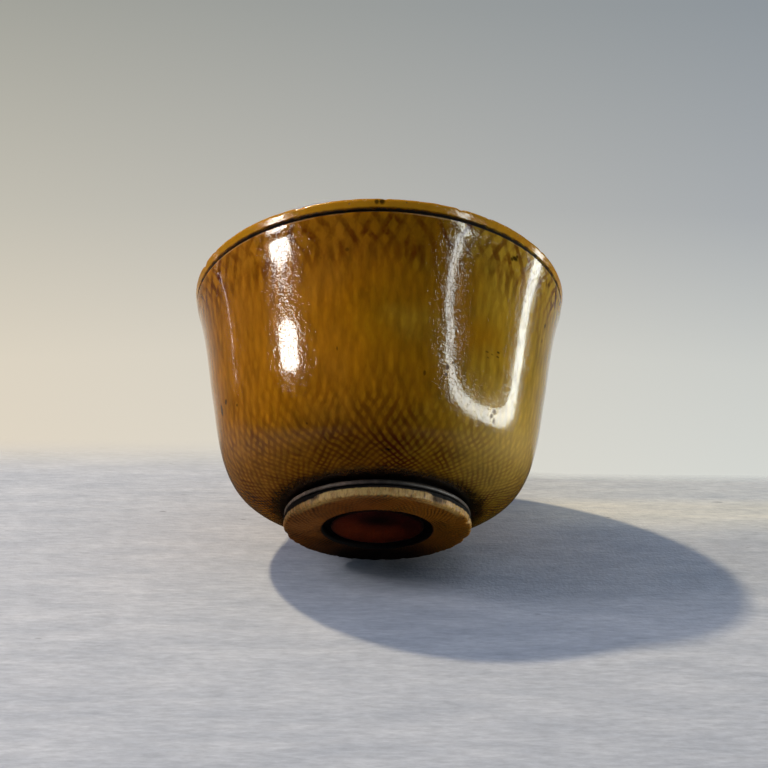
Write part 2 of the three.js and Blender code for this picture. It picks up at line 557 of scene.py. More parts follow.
cup = {
    "height": 40.9,
    "lipRadius": 31.199,
    "lipHeight": 1.65,
    "lipRound": 0.6,
    "lipSlant": 0.31,  # the lip's lower edge lies this far inside its widest point
    "lipUnder": 0.1,  # width of the lip's soft lower edge
    "lipFaceFrom": 0.06,  # and its height
    "lipTop": (30.3, 30.1),  # radii of two rings on its top
    "lipInnerRound": 0.4,
    "lipWall": 1.6,
    "grooveWidth": 0.75,
    "grooveDepth": 0.5,
    "grooveFlat": 0.25,
    "grooveBends": [(0.12, 0.5), (0.2, 0.45)],  # its flanks bend here, below and above
    "flareStep": 0.365,  # the wall under the groove lies this far inside the lip
    "neck": (12.9, 3.12),
    "underside": (16.2, 3.46),
    "side": [  # radius and height up the outside of the wall
        (19.77, 4.84),
        (22.1, 6.5),
        (23.62, 8.54),
        (24.73, 11.0),
        (25.58, 13.8),
        (26.26, 16.8),
        (26.846, 20.0),
        (27.435, 23.0),
        (27.969, 26.1),
        (28.542, 29.3),
        (29.207, 32.6),
        (29.527, 34.0),
        (29.79, 35.0),
        (29.948, 35.6),  # the flare ends in a low bead under the groove
        (30.11, 36.2),
        (30.187, 36.5),
        (30.272, 36.8),
        (30.384, 37.1),
        (30.494, 37.4),
        (30.597, 37.7),
        (30.723, 38.1),
        (30.835, 38.5),
    ],
    "wall": 1.7,
    "lined": slice(3, 12, 2),  # places of the side that the inside follows
    "floor": 6.12,
    "floorDish": 0.3,
    "floorCorner": (20.0, 1.35),
    "floorMiddle": 9.0,
    "seat": 2.84,
    "socketTop": 4.42,
    "socketRadius": 9.12,
    "turns": 480,  # steps round the axis
    "sideSteps": 110,
    "insideSteps": 56,
}
grooveTop = cup["height"] - cup["lipHeight"]
grooveBottom = grooveTop - cup["grooveWidth"]

lipChips = [  # angle, half width in degrees, depth
    (-88.6, 0.8, 0.08),
    (-155.0, 2.2, 0.22),
    (-147.0, 1.2, 0.1),
    (-67.0, 1.4, 0.14),
    (-113.0, 1.5, 0.12),
    (-58.0, 0.9, 0.1),
    (-35.0, 1.4, 0.12),
    (24.0, 1.8, 0.2),
    (71.0, 1.0, 0.12),
    (118.0, 2.4, 0.18),
    (160.0, 1.1, 0.1),
]
bowlWear = {
    "lipFrom": 0.3,  # the lip is worn from this far above the groove
    "lipFull": 1.0,  # and fully this much higher
    "lipWaves": [(0.05, 0.55), (0.03, 1.9)],
    "lipLower": 0.03,  # its top is worn down by this much all round
    "lipInside": 0.4,  # share of the wear inside the lip's top
    "chipInwards": 0.8,
    "grooveFrom": 29.9,  # radius
    "grooveReach": 0.4,
    "grooveDepth": 0.12,
    "grooveWaves": [(1.0, 0.4)],
}


def wearBowl(angle, radius, height, place):
    above = height - grooveTop - bowlWear["lipFrom"]
    middle = (grooveTop + grooveBottom) / 2
    outerRing, innerRing = cup["lipTop"]
    if above > 0:
        bites = chipDepth(angle, lipChips)
        rub = uneven(place, bowlWear["lipWaves"])
        top = min(1, above / bowlWear["lipFull"])
        outer = 1 if radius > innerRing else bowlWear["lipInside"]
        height = height - top * outer * (bites + max(0, rub + bowlWear["lipLower"]))
        if radius > outerRing:
            radius -= top * (bites * bowlWear["chipInwards"] + max(0, rub))
    elif height > grooveBottom - 0.3 and radius > bowlWear["grooveFrom"]:
        deep = 1 - min(1, abs(height - middle) / bowlWear["grooveReach"])
        worn = bowlWear["grooveDepth"] * (0.5 + uneven(place, bowlWear["grooveWaves"]))
        radius -= deep * worn
    return radius, height


def makeBowl(material):
    grooveFloor = cup["lipRadius"] - cup["flareStep"] - cup["grooveDepth"]
    slope = (cup["grooveWidth"] - cup["grooveFlat"]) / 2
    (lowOut, lowShare), (highOut, highShare) = cup["grooveBends"]
    lipEdge = cup["lipRadius"] - cup["lipSlant"]
    faceFrom = grooveTop + cup["lipFaceFrom"]
    faceHeight = cup["height"] - cup["lipRound"] - faceFrom
    lipFace = [
        Vector((lipEdge + cup["lipSlant"] * i / 5, faceFrom + faceHeight * i / 5)) for i in range(5)
    ]
    roundCentre = (cup["lipRadius"] - cup["lipRound"], cup["height"] - cup["lipRound"])
    inner = cup["lipInnerRound"]
    innerCentre = (cup["lipRadius"] - cup["lipWall"] + inner, cup["height"] - inner)
    lip = [
        Vector((grooveFloor + lowOut, grooveBottom + slope * lowShare)),
        Vector((grooveFloor, grooveBottom + slope)),
        Vector((grooveFloor, grooveTop - slope)),
        Vector((grooveFloor + highOut, grooveTop - slope * highShare)),
        Vector((lipEdge - cup["lipUnder"], grooveTop)),
        *lipFace,
        *arc(roundCentre, cup["lipRound"], 0, 90, 10),
        *[Vector((radius, cup["height"])) for radius in cup["lipTop"]],
        *arc(innerCentre, inner, 90, 180, 5),
    ]

    undersideRadius = cup["underside"][0]
    cornerRadius, cornerRise = cup["floorCorner"]
    floorPlaces = [
        (radius, cup["floor"] + cup["floorDish"] * (radius / undersideRadius) ** 2)
        for radius in (undersideRadius, cup["neck"][0], cup["floorMiddle"], 0.0)
    ]
    inside = [
        (cup["lipRadius"] - cup["lipWall"], grooveTop),
        *offsetCurve(cup["side"], cup["wall"])[cup["lined"]][::-1],
        (cornerRadius, cup["floor"] + cornerRise),
        *floorPlaces,
    ]
    outline = [
        (cup["neck"][0], cup["seat"]),
        *smoothCurve([cup["neck"], cup["underside"], *cup["side"]], cup["sideSteps"]),
        *lip,
        *smoothCurve(inside, cup["insideSteps"]),
        (0, cup["socketTop"]),
        (cup["socketRadius"], cup["socketTop"]),
        (cup["socketRadius"], cup["seat"]),
    ]
    bowl = turnPiece("turned_bowl", outline, cup["turns"], material, wearBowl)
    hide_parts("bowl")


bowlLook = {
    "body": [
        (0.0, "#B0721E"),
        (0.42, "#B4740C"),
        (0.62, "#A26E08"),
        (0.78, "#AE8620"),
        (1.0, "#B48E2A"),
    ],
    "line": "#581E02",
    "lineStops": [  # how strong the growth lines are, from the foot up
        (0.0, 0.95),
        (0.15, 0.92),
        (0.24, 0.75),
        (0.34, 0.42),
        (0.55, 0.2),
        (0.74, 0.4),
        (0.84, 1.0),
        (1.0, 0.9),
    ],
    "streak": 0.28,
    "grain": 0.035,
    "pricks": 0.046,
    "scratch": 0.058,
    "haze": 0.02,
    "roughness": 0.04,
    "gloss": 1.54,  # index of refraction, lower where the surface is porous
    "glow": 0.25,
}

# Small dark pits and stains in the wall: centre, half width, half height, strength.
pits = [
    ((20.8, -21.9, 36.4), 0.62, 0.34, 0.9),
    ((20.3, -22.2, 36.1), 0.3, 0.3, 0.8),
    ((21.1, -21.7, 36.8), 0.25, 0.3, 0.8),
    ((-0.5, -31.2, 40.05), 0.34, 0.4, 0.8),
    ((0.3, -31.2, 40.1), 0.42, 0.45, 0.85),
    ((-24.3, -9.5, 16.1), 0.5, 1.0, 0.75),
    ((-23.5, -11.6, 16.5), 0.4, 0.45, 0.75),
    ((-21.4, -14.4, 14.6), 0.22, 0.24, 0.7),
    ((-25.6, -3.3, 14.7), 0.4, 1.3, 0.8),
    ((-4.8, -28.9, 33.1), 0.3, 0.3, 0.55),
    ((-8.7, -28.0, 32.2), 0.2, 0.3, 0.3),
    ((16.0, -21.6, 20.2), 0.3, 0.14, 0.6),
    ((16.8, -21.0, 20.1), 0.26, 0.12, 0.45),
    ((17.8, -20.3, 20.8), 0.3, 0.16, 0.85),
    ((17.7, -20.2, 20.1), 0.3, 0.14, 0.7),
    ((16.1, -21.3, 19.4), 0.24, 0.12, 0.5),
    ((26.5, -11.4, 30.6), 0.26, 0.45, 0.8),
    ((25.8, -11.5, 27.8), 0.22, 0.35, 0.7),
    ((6.6, -25.0, 14.8), 0.2, 0.4, 0.6),
    ((-10.2, -21.1, 8.5), 0.2, 0.2, 0.7),
    ((1.4, -20.0, 5.0), 0.42, 0.14, 0.75),
    ((0.6, -19.9, 4.9), 0.24, 0.1, 0.5),
    ((0.6, -26.3, 16.1), 0.16, 0.16, 0.6),
    ((-1.7, -27.3, 23.4), 0.14, 0.16, 0.6),
    ((-6.0, -25.8, 18.3), 0.12, 0.4, 0.6),
]
# Places where the polish is broken, so that they stay dull inside a highlight.
breaks = [
    ((9.9, -24.2, 16.2), 0.24, 0.4, 0.9),
    ((9.7, -24.0, 15.1), 0.2, 0.24, 0.9),
    ((17.1, -18.3, 12.0), 0.38, 0.32, 0.6),
    ((16.6, -18.4, 11.2), 0.3, 0.3, 0.6),
    ((17.0, -17.8, 10.6), 0.26, 0.5, 0.55),
    ((10.8, -24.0, 17.1), 0.16, 0.2, 0.6),
    ((11.8, -23.2, 15.5), 0.12, 0.3, 0.5),
]
# Scratches, sunk a little and painted pale as a glint along them: both ends and half width.
scratches = [
    ((17.4, -22.0, 27.5), (21.5, -18.1, 27.9), 0.045),
    ((16.6, -22.6, 28.6), (19.3, -20.4, 27.2), 0.03),
    ((6.6, -25.0, 14.3), (10.0, -23.3, 12.7), 0.04),
    ((12.4, -23.4, 17.4), (14.2, -22.0, 15.7), 0.03),
    ((-13.0, -24.1, 23.7), (-11.1, -24.7, 21.2), 0.05),
    ((-11.5, -26.9, 33.6), (-11.1, -26.8, 32.3), 0.06),
    ((-10.6, -27.2, 33.7), (-10.5, -27.1, 32.6), 0.05),
    ((-12.5, -25.6, 30.1), (-12.1, -25.6, 29.2), 0.05),
    ((-14.2, -24.4, 27.6), (-12.2, -25.2, 27.9), 0.04),
    ((-12.8, -24.6, 24.9), (-11.9, -24.7, 22.5), 0.04),
    ((15.9, -22.9, 26.2), (16.3, -22.5, 24.9), 0.03),
]
# Painted shade over the foot, where the belly faces down to the table in shadow, and a darker patch
# under the middle of the lip.
shadeAndDarkPlaces = [((-2.5, -20.0, 5.0), 9.0, 3.5, 0.42), ((3.0, -30.0, 36.0), 13.0, 5.0, 0.34)]
# a painted pool of light, low on the right side of the belly
litBellyPlaces = [((22.0, -13.0, 9.5), 8.5, 6.0)]  # on the right side of the belly


# the upper wall is darker, but for its right side
def upperWallDarker(tree, place, height):
    above = band(tree, place, height, 8.5, 13.5, *toTop)
    axes = addNode(tree, "SeparateXYZ", [place])
    left = addNode(tree, "MapRange", [axes, 9 * mm, 18 * mm, 0.2, 0.0])
    return "#6A3400", addNode(tree, "Math", [above, left], operation="MULTIPLY"), 0.0, 0.05


# painted shade over the foot, and a darker patch under the lip
def paintedShadeAndDarkening(tree, place, height):
    return "#300C00", spots(tree, place, shadeAndDarkPlaces, 0.85), 0.0, 0.05


# painted light: the belly is paler low on its right side, where light from the right falls
def paintedBellyLight(tree, place, height):
    patchMask = spots(tree, place, litBellyPlaces, 0.75)
    return "#F2CC6A", addNode(tree, "Math", [patchMask, 0.42], operation="MULTIPLY"), 0.0, 0.08


# the lip above the groove is a warmer yellow, with pale flecks along its top, partly wear and
# partly painted glints, and dark specks
def lipWarmth(tree, place, height):
    lip = band(tree, place, height, grooveTop - 0.05, grooveTop + 0.25, *toTop)
    return "#C28616", addNode(tree, "Math", [lip, 0.8], operation="MULTIPLY"), 0.0, 0.1


# pale flecks on the lip's top, sunk a little: partly wear, partly painted glints on its small chips
def lipWearAndGlints(tree, place, height):
    flecked = addNode(
        tree,
        "TexNoise",
        {"Vector": place, "Scale": scaleFor(0.9), "Detail": 4.0, "Roughness": 0.7},
    )
    flecks = addNode(tree, "MapRange", [flecked, 0.58, 0.66, 0.0, 0.65])
    top = band(tree, place, height, cup["height"] - 0.85, cup["height"] - 0.55, *toTop, 0.15)
    return "#E8CA90", addNode(tree, "Math", [flecks, top], operation="MULTIPLY"), 0.2, 0.35


def lipSpecks(tree, place, height):
    flecked = addNode(
        tree,
        "TexNoise",
        {"Vector": place, "Scale": scaleFor(0.7), "Detail": 2.0, "W": 3.0},
        noise_dimensions="4D",
    )
    flecks = addNode(tree, "MapRange", [flecked, 0.3, 0.24, 0.0, 0.8])
    lip = band(tree, place, height, grooveTop + 0.05, grooveTop + 0.55, *toTop)
    return "#2A160A", addNode(tree, "Math", [flecks, lip], operation="MULTIPLY"), 0.3, 0.35


# the groove's lower edge is pale in places: partly wear, partly a painted highlight along the edge
def grooveEdgeWearAndSheen(tree, place, height):
    patchMask = band(tree, place, height, *[grooveBottom - down for down in (0.22, 0.14, 0.06, 0)])
    patchy = addNode(tree, "TexNoise", {"Vector": place, "Scale": scaleFor(4), "Detail": 2.0})
    share = addNode(tree, "MapRange", [patchy, 0.45, 0.62, 0.0, 0.5])
    outside = addNode(tree, "MapRange", [outward(tree, place), 30.6 * mm, 30.7 * mm, 0.0, 1.0])
    kept = addNode(tree, "Math", [share, outside], operation="MULTIPLY")
    return "#C8A874", addNode(tree, "Math", [patchMask, kept], operation="MULTIPLY"), 0.0, 0.15


# the groove is dark, a little sunk and dull
def darkGroove(tree, place, height):
    outside = addNode(tree, "MapRange", [outward(tree, place), 29.8 * mm, 30.0 * mm, 0.0, 1.0])
    grooveBand = band(
        tree,
        place,
        height,
        grooveBottom - 0.08,
        grooveBottom + 0.1,
        grooveTop - 0.1,
        grooveTop + 0.07,
        0.12,
    )
    return "#140A05", addNode(tree, "Math", [grooveBand, outside], operation="MULTIPLY"), 0.1, 0.4


# the hollow over the foot is dark, and the belly above it a little darker than the wall
def hollowShade(tree, place, height):
    near = band(tree, place, height, *fromBelow, 3.5, 4.4, 0.3)
    near = addNode(tree, "Math", [near, 0.75], operation="MULTIPLY")
    far = band(tree, place, height, *fromBelow, 4.5, 11.5, 0.3)
    far = addNode(tree, "Math", [far, 0.36], operation="MULTIPLY")
    return "#220A02", largest(tree, [near, far]), 0.0, 0.12


# the bowl is black just above the collar
def blackAboveCollar(tree, place, height):
    return "#080402", band(tree, place, height, *fromBelow, 3.2, 3.65, 0.12), 0.0, 0.35


def brokenPolish(tree, place, height):
    return "#5A3C10", spots(tree, place, breaks, 0.5), 0.3, 0.85


bowlLayers = [
    upperWallDarker,
    paintedShadeAndDarkening,
    paintedBellyLight,
    lipWarmth,
    lipWearAndGlints,
    lipSpecks,
    grooveEdgeWearAndSheen,
    darkGroove,
    hollowShade,
    blackAboveCollar,
    brokenPolish,
]

# Stained ivory polished by cloth and hands: honey brown that glows a little, with every growth line
# to be seen, and hard highlights with a prickly edge.
makeBowl(makeIvory("polishedStainedIvory", bowlLook, bowlLayers, pits, scratches))
print("bowl turned")

# the collar ring between the bowl and the foot

collar = {
    "bore": 9.12,
    "radius": 14.7,
    "bottom": 1.82,
    "top": 2.72,
    "flatRadius": 12.5,
    "wornFrom": 13.0,
    "wear": 0.05,
    "wearWaves": [(1.0, 0.5)],
    "turns": 360,
}


def wearCollar(angle, radius, height, place):
    if radius > collar["wornFrom"]:
        radius -= collar["wear"] * (0.5 + uneven(place, collar["wearWaves"]))
    return radius, height


def makeCollar(material):
    half = (collar["top"] - collar["bottom"]) / 2
    outline = [
        (collar["bore"], collar["bottom"]),
        (collar["flatRadius"], collar["bottom"]),
        *arc((collar["radius"] - half, collar["bottom"] + half), half, -90, 90, 16),
        (collar["flatRadius"], collar["top"]),
        (collar["bore"], collar["top"]),
    ]
    ring = turnPiece("turned_collar", outline, collar["turns"], material, wearCollar)
    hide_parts("collar_ring")


collarLook = {
    "body": [(0.2, "#7C6652"), (0.45, "#4A3E30"), (0.6, "#3C3428"), (0.8, "#544A40")],
    "line": "#2A1C12",
    "lineStops": [(0.0, 0.4), (1.0, 0.4)],
    "streak": 0.45,
    "grain": 0.12,
    "pricks": 0.1,
    "scratch": 0.15,
    "haze": 0.1,
    "roughness": 0.42,
    "gloss": 1.45,
    "glow": 0.1,
}


# dirt has packed into the seams above and below the ring
def collarDirt(tree, place, height):
    low = band(tree, place, height, *fromBelow, 1.92, 2.05, 0.06)
    high = band(tree, place, height, 2.5, 2.64, *toTop, 0.08)
    return "#0E0805", largest(tree, [low, high]), 0.1, 0.5


# Turned ivory that cloth doesn't reach: grey-brown with dirt, and only a dull sheen.
makeCollar(makeIvory("dirtyTurnedIvory", collarLook, [collarDirt]))
print("collar ring turned")

# the foot disc, with its ragged worn edge and the sunk ring under it

foot = {
    "radius": 14.8,
    "thickness": 1.7,
    "chamfer": 0.3,
    "seatRadius": 13.2,
    "spigotRadius": 9.0,
    "spigotTop": 4.3,
    "bore": 3.12,
    "recessRadius": 8.7,
    "recessDepth": 1.1,
    "recessLip": 0.12,  # the recess has a soft edge below and a soft corner above
    "recessCorner": 0.15,
    "recessMiddle": 0.6,
    "turns": 480,
}
footChips = [  # angle, half width in degrees, depth
    (-131.6, 3.2, 0.35),
    (-55.5, 2.2, 0.3),
    (-48.0, 1.8, 0.28),
    (-36.0, 2.6, 0.25),
    (-14.0, 3.0, 0.4),
    (-170.0, 4.0, 0.12),
    (168.0, 4.0, 0.2),
    (152.0, 3.0, 0.3),
    (16.0, 4.0, 0.35),
    (38.0, 2.4, 0.2),
    (105.0, 3.0, 0.25),
]
footWear = {
    "from": 13.3,  # radius
    "sideFull": 0.6,  # how much farther out the side's wear is full, and the underside's
    "underFull": 1.0,
    "underHeight": 0.5,
    "underShare": 0.5,
    "topShare": 0.3,  # share of the side's wear at its upper edge
    "waves": [(0.2, 0.8), (0.12, 2.3)],
    "lower": 0.1,
}


def wearFoot(angle, radius, height, place):
    if radius > footWear["from"] and height < foot["thickness"] + 0.01:
        low = 1 - min(1, height / foot["thickness"])
        share = footWear["topShare"] + (1 - footWear["topShare"]) * low
        rag = uneven(place, footWear["waves"])
        worn = chipDepth(angle, footChips) + max(0, footWear["lower"] + rag)
        radius -= share * worn * min(1, (radius - footWear["from"]) / footWear["sideFull"])
        if height < footWear["underHeight"]:
            under = min(1, (radius - footWear["from"]) / footWear["underFull"])
            height += max(0, rag) * footWear["underShare"] * under
    return radius, height


def makeFoot(material):
    radius, thick, chamfer = foot["radius"], foot["thickness"], foot["chamfer"]
    recess, depth = foot["recessRadius"], foot["recessDepth"]
    softly = chamfer * 0.3, chamfer * 0.4  # the chamfer is a little round
    flatFrom = recess + foot["recessLip"]
    flatWidth = radius - chamfer - flatFrom
    outline = [
        (recess, foot["recessLip"]),
        *[(flatFrom + flatWidth * i / 16, 0) for i in range(17)],
        (radius - softly[1], softly[0]),
        *[(radius, chamfer + (thick - 2 * chamfer) * i / 6) for i in range(7)],
        (radius - softly[1], thick - softly[0]),
        (radius - chamfer, thick),
        (foot["seatRadius"], thick),
        (foot["spigotRadius"], thick),
        (foot["spigotRadius"], foot["spigotTop"]),
        (foot["bore"], foot["spigotTop"]),
        (foot["bore"], depth),
        (recess - foot["recessCorner"], depth),
        (recess, depth - foot["recessCorner"]),
        (recess, foot["recessMiddle"]),
    ]
    disc = turnPiece("turned_foot", outline, foot["turns"], material, wearFoot)
    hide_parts("foot_disc")


footLook = {
    "body": [(0.2, "#9C6028"), (0.5, "#84460E"), (0.9, "#BC760E")],
    "line": "#0E0401",
    "lineStops": [(0.0, 1.0), (1.0, 1.0)],
    "streak": 0.14,
    "grain": 0.15,
    "pricks": 0.1,
    "scratch": 0.15,
    "haze": 0.1,
    "roughness": 0.32,
    "gloss": 1.36,
    "glow": 0.15,
}
edgeNickPlaces = [((9.1, -11.7, 0.75), 1.2, 0.7), ((-9.4, -11.4, 1.0), 0.8, 0.5)]


# the edge has frayed pale, also under the foot but for its middle, and less at the far left
def paleEdge(tree, place, height):
    outer = addNode(tree, "MapRange", [outward(tree, place), 13.4 * mm, 13.9 * mm, 0.0, 1.0])
    upright = addNode(tree, "VectorMath", [place, (1, 1, 0.25)], operation="MULTIPLY")
    hairs = addNode(
        tree,
        "TexNoise",
        {"Vector": upright, "Scale": scaleFor(0.35), "Detail": 3.0, "Roughness": 0.7},
    )
    fray = addNode(tree, "MapRange", [hairs, 0.32, 0.62, 0.2, 1.2])
    worn = addNode(tree, "Math", [outer, fray], operation="MULTIPLY", use_clamp=True)
    axes = addNode(tree, "SeparateXYZ", [place])
    left = addNode(tree, "MapRange", [axes, -12 * mm, -8 * mm, 0.3, 0.85])
    near = addNode(tree, "MapRange", [axes.outputs[1], -8.0 * mm, -5.5 * mm, 1.0, 0.0])
    aside = addNode(tree, "Math", [axes], operation="ABSOLUTE")
    off = addNode(tree, "MapRange", [aside, 5 * mm, 9 * mm, 0.15, 1.0])
    below = addNode(tree, "Math", [near, off], operation="MULTIPLY")
    above = band(tree, place, height, 0.02, 0.25, *toTop, 0.12)
    kept = addNode(tree, "Math", [largest(tree, [above, below]), left], operation="MULTIPLY")
    return "#C8A258", addNode(tree, "Math", [worn, kept], operation="MULTIPLY"), 0.3, 0.45


# small breaks in the pale edge
def edgeNicks(tree, place, height):
    nicks = spots(tree, place, edgeNickPlaces, 0.4)
    return "#30201A", addNode(tree, "Math", [nicks, 0.85], operation="MULTIPLY"), 0.5, 0.8


# dirt along the seam above the foot, which has crept down over its edge at both sides
def seamDirt(tree, place, height):
    axes = addNode(tree, "SeparateXYZ", [place])
    right = addNode(tree, "MapRange", [axes, 7.0 * mm, 9.0 * mm, 0.0, 0.3 * mm])
    left = addNode(tree, "MapRange", [axes, -8.0 * mm, -11.0 * mm, 0.0, 0.5 * mm])
    creep = addNode(tree, "Math", [right, left], operation="ADD")
    raised = addNode(tree, "Math", [height, creep], operation="ADD")
    return "#0A0604", band(tree, place, raised, 1.2, 1.36, *toTop, 0.08), 0.0, 0.9


# painted shade: the half of the underside that rests on the table is darkened to black, most
# towards where it touches and in its middle
def paintedContactShade(tree, place, height):
    axes = addNode(tree, "SeparateXYZ", [place])
    nearContact = addNode(
        tree,
        "MapRange",
        [axes.outputs[1], 2.0 * mm, 11.0 * mm, 0.0, 0.95],
        interpolation_type="SMOOTHSTEP",
    )
    aside = addNode(tree, "Math", [axes], operation="ABSOLUTE")
    middle = addNode(tree, "MapRange", [aside, 6.0 * mm, 13.0 * mm, 1.0, 0.25])
    under = band(tree, place, height, *fromBelow, 0.2, 0.6)
    patchMask = addNode(tree, "Math", [nearContact, middle], operation="MULTIPLY")
    return "#080402", addNode(tree, "Math", [patchMask, under], operation="MULTIPLY"), 0.0, 0.6


# painted shade: nearly black inside the recess's radius, which shows as the sunk ring round the
# plug
def paintedRecessShade(tree, place, height):
    inner = addNode(tree, "MapRange", [outward(tree, place), 9.0 * mm, 8.72 * mm, 0.0, 1.0])
    return "#060302", addNode(tree, "Math", [inner, 0.97], operation="MULTIPLY"), 0.0, 0.9


# Ivory worn by the table it stands on: half-matt brown with fine dark lines, dark dirt along the
# seam, painted black shade where it rests on the table and in the ring round the plug, and a pale
# fibrous edge.
footLayers = [paleEdge, edgeNicks, seamDirt, paintedContactShade, paintedRecessShade]
makeFoot(makeIvory("wornTurnedIvory", footLook, footLayers))
print("foot turned")

# the plug in the middle of the underside

plug = {
    "radius": 7.3,
    "faceShare": 0.985,  # of the radius, where its soft edge begins
    "edge": 0.08,
    "sink": 0.45,
    "dome": 0.18,
    "shoulder": 0.98,
    "stem": 3.0,
    "top": 3.1,
    "faceSteps": 28,
    "turns": 240,
}


def makePlug(material):
    face = []
    for i in range(plug["faceSteps"] + 1):
        share = i / plug["faceSteps"]
        height = plug["sink"] - plug["dome"] * (1 - share * share)
        face.append((plug["radius"] * plug["faceShare"] * share, height))
    outline = [
        *face,
        (plug["radius"], plug["sink"] + plug["edge"]),
        (plug["radius"], plug["shoulder"]),
        (plug["stem"], plug["shoulder"]),
        (plug["stem"], plug["top"]),
        (0, plug["top"]),
    ]
    disc = turnPiece("turned_plug", outline, plug["turns"], material)
    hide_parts("base_plug")


plugLook = {
    "body": [(0.4, "#4E1404"), (0.6, "#360602")],
    "line": "#200804",
    "lineStops": [(0.0, 0.3), (1.0, 0.3)],
    "streak": 0.2,
    "grain": 0.2,
    "pricks": 0.1,
    "scratch": 0.15,
    "haze": 0.1,
    "roughness": 0.28,
    "gloss": 1.45,
    "glow": 0.15,
}
plugHeartPlaces = [((0.2, -3.4, 0.3), 2.2, 2.2)]
plugWearPlaces = [((-4.2, 1.6, 0.3), 3.6, 3.0), ((-0.5, 2.6, 0.3), 3.4, 2.0)]


# the stain has rubbed thin on one side of the plug
def plugWear(tree, place, height):
    worn = spots(tree, place, plugWearPlaces, 0.75)
    return "#8A3408", addNode(tree, "Math", [worn, 0.38], operation="MULTIPLY"), 0.0, 0.35


def plugHeart(tree, place, height):
    heart = spots(tree, place, plugHeartPlaces, 0.7)
    return "#0C0201", addNode(tree, "Math", [heart, 0.8], operation="MULTIPLY"), 0.0, 0.4


def plugRim(tree, place, height):
    rim = addNode(tree, "MapRange", [outward(tree, place), 6.7 * mm, 7.3 * mm, 0.0, 0.9])
    return "#180B06", rim, 0.1, 0.4


# End grain of the tusk's heart, which takes the stain deepest: dark red with a soft shine.
makePlug(makeIvory("redStainedIvory", plugLook, [plugWear, plugHeart, plugRim]))
print("plug turned")

# the table: painted board, seen only from its upper side

table = {
    "near": 420.0,
    "behind": 120.0,
    "halfWidth": 420.0,
    "thinAir": 0.05,
    "tones": [(0.3, "#BEC1C2"), (0.7, "#D5D6D4")],
    "brush": 4.0,  # brush marks run from side to side
    "brushStretch": (0.25, 1, 1),
    "fine": 0.7,
    "speck": 1.3,
    "speckColour": "#5A5C5E",
    "pore": 0.6,
    "poreDepth": 0.07,
    "contactShadow": [((3.5, -1.5, 0.0), 7.5, 7.5)],  # painted contact shadow where the foot stands
    "contactShadowColour": "#26292C",
    "sunny": [  # towards the back at the right: from, full, to and end, and how much brighter
        ((8, 22, 98, 99), (1.24, 1.23, 1.17, 1)),
        ((14, 23, 28, 33), (1.17, 1.12, 1.02, 1)),
    ],
    "sunnyRight": (10, 34),
    "fadeFrom": 42.0,  # the board ends softly behind the cup
    "fadeTo": 70.0,
    "fadeSharper": 5.0,  # times as sharply at the right
    "fadeRight": (10, 40),
    "mirroredNear": "#2A241C",  # the gloss of the cup shows a darker board
    "mirroredFar": "#84847E",
    "mirroredAside": (20, 75),
    "mirroredReach": (90, 300),
}


def makeTable():
    mesh = bpy.data.meshes.new("table")
    shape = bmesh.new()
    bmesh.ops.create_grid(shape, x_segments=1, y_segments=1, size=1.0)
    half = (table["near"] + table["behind"]) / 2
    bmesh.ops.scale(shape, vec=(table["halfWidth"] * mm, half * mm, 1), verts=shape.verts)
    shift = (0, (table["behind"] - half) * mm, -table["thinAir"] * mm)
    bmesh.ops.translate(shape, vec=shift, verts=shape.verts)
    shape.to_mesh(mesh)
    shape.free()
    plane = bpy.data.objects.new("table", mesh)
    bpy.context.scene.collection.objects.link(plane)
    plane.matrix_world = Matrix.Translation(roomOrigin) @ Matrix.Rotation(lean, 4, "X")
    mesh.materials.append(paintedBoard())


